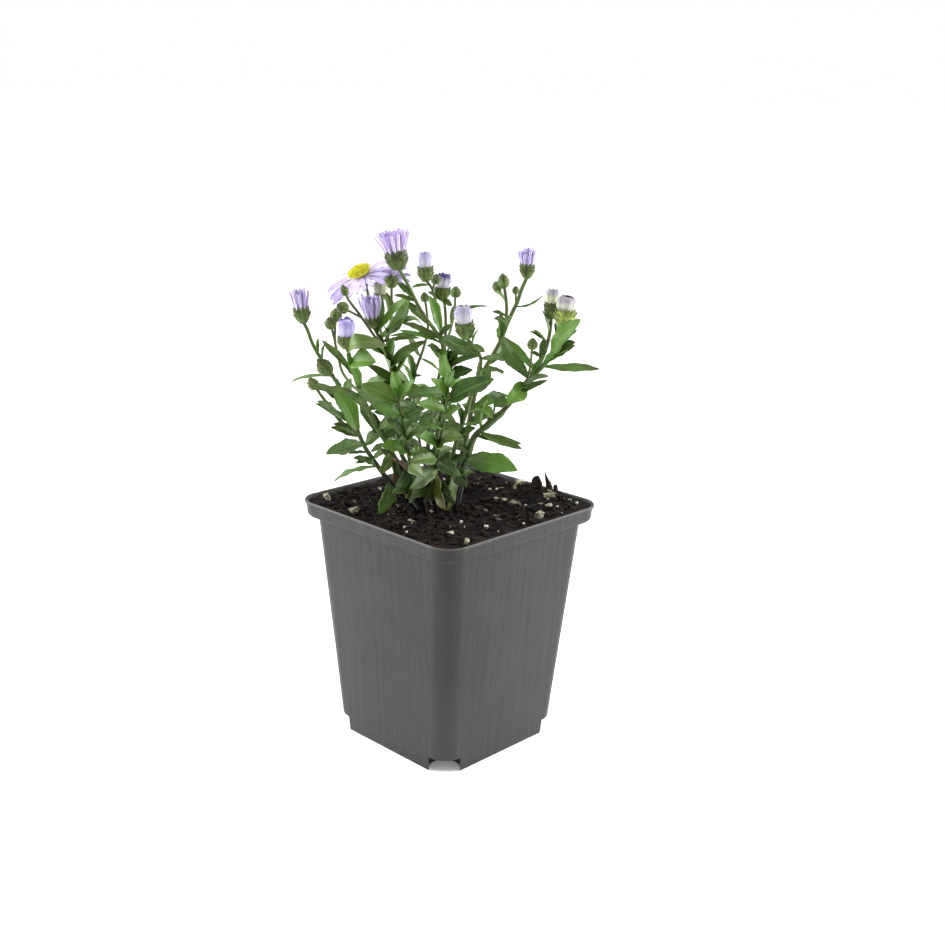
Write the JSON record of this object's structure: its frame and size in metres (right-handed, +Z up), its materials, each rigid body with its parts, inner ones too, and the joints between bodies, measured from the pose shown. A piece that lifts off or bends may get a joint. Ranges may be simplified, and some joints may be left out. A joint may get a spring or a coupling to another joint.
{
  "type": "potted aster",
  "caption": "Dwarf Michaelmas daisy in flower and bud, with spreading leafy stems, growing in dark soil in a square tapered grey nursery pot.",
  "frame": {"origin": "middle of the pot's underside, on the surface it stands on", "axes": "+Z up; X and Y square to the pot's walls, with the picture taken from the +X -Y side"},
  "size_m": [0.105, 0.096, 0.2104],
  "materials": {
    "pot_plastic": "matt grey moulded plastic, slightly dusty",
    "soil": "moist dark peat with bits of bark, straw and perlite",
    "leaf_green": "satin green leaf, darker below",
    "lavender_ray": "soft lavender ray florets",
    "folded_ray": "pale rays still folded, cream to lavender",
    "yellow_disc": "small tubular florets, yellow"
  },
  "bodies": {
    "root": {"pot": "pot_plastic", "soil": "soil", "stem_left": "leaf_green", "ray_brush_left": "lavender_ray", "stem_left_front": "leaf_green", "closed_head_left_front": "folded_ray", "stem_left_tall": "leaf_green", "ray_brush_left_tall": "lavender_ray", "ray_ring_left_tall_1": "lavender_ray", "disc_left_tall_1": "yellow_disc", "closed_head_left_tall_3": "folded_ray", "ray_ring_left_tall_4": "lavender_ray", "disc_left_tall_4": "yellow_disc", "stem_middle": "leaf_green", "ray_brush_middle": "lavender_ray", "closed_head_middle_1": "folded_ray", "stem_middle_back": "leaf_green", "closed_head_middle_back": "folded_ray", "stem_back_left": "leaf_green", "stem_front_right": "leaf_green", "closed_head_front_right": "folded_ray", "stem_back_right": "leaf_green", "ray_brush_back_right": "lavender_ray", "stem_right": "leaf_green", "closed_head_right": "folded_ray", "closed_head_right_1": "folded_ray", "stem_low_right": "leaf_green", "stem_front": "leaf_green", "stem_front_left": "leaf_green", "stem_low_back": "leaf_green"}
  },
  "joints": []
}
